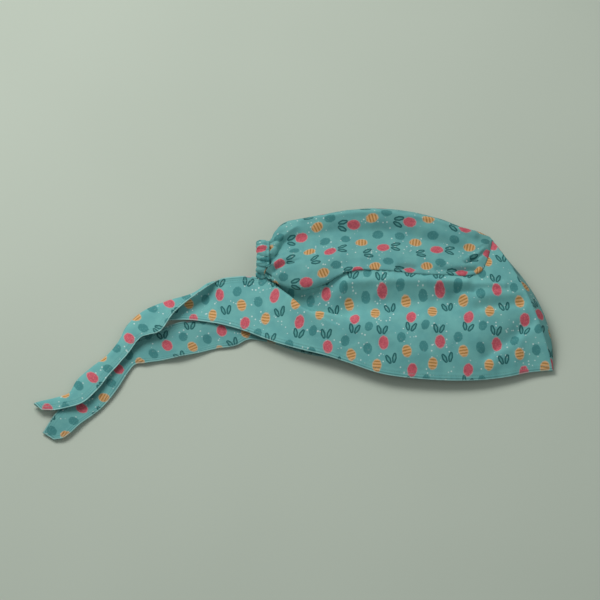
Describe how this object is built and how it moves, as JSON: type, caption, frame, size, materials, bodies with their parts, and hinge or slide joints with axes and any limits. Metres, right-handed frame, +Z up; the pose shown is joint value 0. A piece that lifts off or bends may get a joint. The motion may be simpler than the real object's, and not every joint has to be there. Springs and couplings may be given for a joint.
{
  "type": "surgical scrub cap",
  "caption": "Soft cotton scrub cap with a wide band, a full crown, a gathered elastic back and two long ties, lying on its side.",
  "frame": {"origin": "middle of the whole outline, ties included, at the level of the surface that the cap lies on", "axes": "+X towards the forehead, +Y towards the top of the crown, +Z up out of the surface and towards the wearer's right side"},
  "size_m": [0.5161, 0.248, 0.0571],
  "materials": {
    "band_cloth": "matt printed cotton, turquoise with small coral, orange and teal ovals",
    "lower_cloth": "matt printed cotton, turquoise with small coral, orange and teal ovals",
    "crown_cloth": "matt printed cotton, turquoise with small coral, orange and teal ovals",
    "casing_cloth": "matt printed cotton, gathered over elastic"
  },
  "bodies": {
    "root": {"right_panel": "band_cloth", "left_panel": "lower_cloth", "crown": "crown_cloth", "back_casing": "casing_cloth"}
  },
  "joints": []
}
